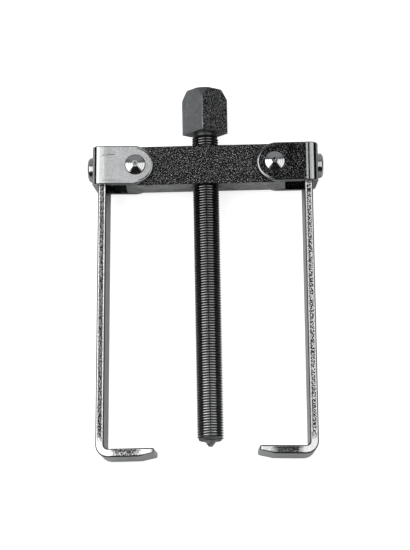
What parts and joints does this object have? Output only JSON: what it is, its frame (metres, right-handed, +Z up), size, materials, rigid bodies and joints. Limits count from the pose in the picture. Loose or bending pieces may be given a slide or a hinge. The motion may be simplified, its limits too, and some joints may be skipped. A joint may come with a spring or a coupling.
{
  "type": "gear puller",
  "caption": "Screw-driven puller with hooked strap arms hinged on a tapped crossbar and a square-headed forcing screw with a cone point.",
  "frame": {"origin": "middle of the whole tool's length, straight below the forcing screw's axis, on the surface that the tool lies on", "axes": "the tool lies on its back: +X towards the right arm, +Y along the screw towards its square head, +Z up, towards the front side of the pivot pins"},
  "size_m": [0.1146, 0.1816, 0.0258],
  "materials": {
    "black_paint": "black hammered paint with fine bright sparkle",
    "black_steel": "black-oxide steel, oiled",
    "plated_sheet": "bright zinc plate over pressed sheet",
    "plated_strap": "bright plate over sheared and bent strap",
    "polished_rivet": "turned and polished steel"
  },
  "bodies": {
    "crossbar": {"crossbar": "black_paint"},
    "centre_point": {"centre_point": "black_steel"},
    "forcing_screw": {"forcing_screw": "black_steel"},
    "left_side": {"left_clevis": "plated_sheet", "left_arm": "plated_strap", "left_pivot_pin": "polished_rivet", "left_arm_rivet": "polished_rivet"},
    "right_side": {"right_clevis": "plated_sheet", "right_arm": "plated_strap", "right_pivot_pin": "polished_rivet", "right_arm_rivet": "polished_rivet"}
  },
  "joints": [
    {"name": "left_arm_swing", "type": "hinge", "parent": "crossbar", "child": "left_side", "pos_m": [-0.0338, 0.05203, 0.0127], "axis": [0, 0, -1], "range_deg": [-7.4, 83.8]},
    {"name": "right_arm_swing", "type": "hinge", "parent": "crossbar", "child": "right_side", "pos_m": [0.0338, 0.05203, 0.0127], "axis": [0, 0, 1], "range_deg": [-6.1, 85.1]},
    {"name": "screw_advance", "type": "slide", "parent": "crossbar", "child": "centre_point", "axis": [0, -1, 0], "range_m": [-0.111, 0.006]},
    {"name": "screw_turn", "type": "hinge", "parent": "centre_point", "child": "forcing_screw", "pos_m": [0, 0.05203, 0.0127], "axis": [0, -1, 0], "range_deg": [-31500, 1740]}
  ],
  "couplings": [
    {"joint": "screw_turn", "follows": "screw_advance", "rad_per_m": 4947.4}
  ]
}
